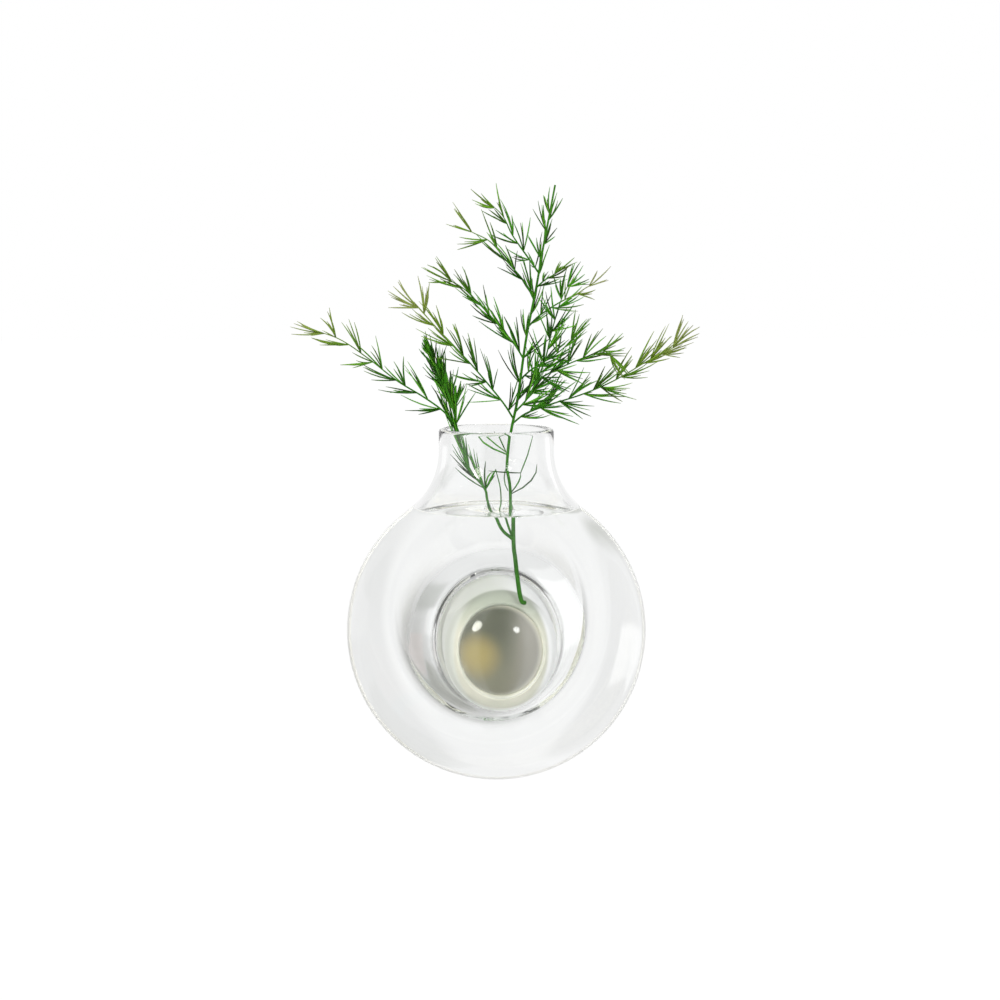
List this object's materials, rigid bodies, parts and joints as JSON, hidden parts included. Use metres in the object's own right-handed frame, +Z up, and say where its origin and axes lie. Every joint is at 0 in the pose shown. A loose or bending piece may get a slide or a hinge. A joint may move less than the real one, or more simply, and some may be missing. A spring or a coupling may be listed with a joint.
{
  "type": "magnetic wall vase",
  "caption": "Clear glass sphere vase with a straight neck and a rear pocket that slides over a magnet-held peg, shown with a lift-out fern sprig.",
  "frame": {"origin": "centre of the grip pad's back face, on the wall plane", "axes": "+Y into the wall, out of the back of the pad; +Z up, along the neck; +X to the right seen from the room"},
  "size_m": [0.1209, 0.0909, 0.1784],
  "materials": {
    "pad_rubber": "matt, pale grey rubber",
    "cup_steel": "white enamel, satin",
    "magnet_nickel": "nickel-plated",
    "screw_steel": "plain steel",
    "peg_plastic": "satin, cream",
    "nose_gloss": "high gloss, olive grey",
    "sleeve_cream": "smooth silicone, cream",
    "clear_glass": "clear, polished",
    "stem_green": "fresh green stem",
    "needle_green": "fresh green needles"
  },
  "bodies": {
    "holder": {"grip_pad": "pad_rubber", "magnet_cup": "cup_steel", "ring_magnet": "magnet_nickel", "fixing_screw": "screw_steel", "peg": "peg_plastic"},
    "sleeve": {"pocket_sleeve": "sleeve_cream", "nose_cap": "nose_gloss"},
    "vase": {"glass_vessel": "clear_glass"},
    "sprig": {"main_stem": "stem_green", "side_stem": "stem_green", "frond_low_left": "needle_green", "frond_feather": "needle_green", "frond_mid_left": "needle_green", "frond_fan_left": "needle_green", "frond_high_left": "needle_green", "frond_top_left": "needle_green", "frond_top_right": "needle_green", "frond_high_right": "needle_green", "frond_tall_right": "needle_green", "frond_mid_right": "needle_green", "frond_inner_right": "needle_green", "frond_long_right": "needle_green"}
  },
  "joints": [
    {"name": "turn_on_peg", "type": "hinge", "parent": "holder", "child": "sleeve", "pos_m": [0, -0.026, 0], "axis": [0, -1, 0], "range_deg": [-30, 30]},
    {"name": "pull_off", "type": "slide", "parent": "sleeve", "child": "vase", "axis": [0, -1, 0], "range_m": [0, 0.046]},
    {"name": "lift_out", "type": "slide", "parent": "vase", "child": "sprig", "axis": [0, 0, 1], "range_m": [0, 0.06]}
  ]
}
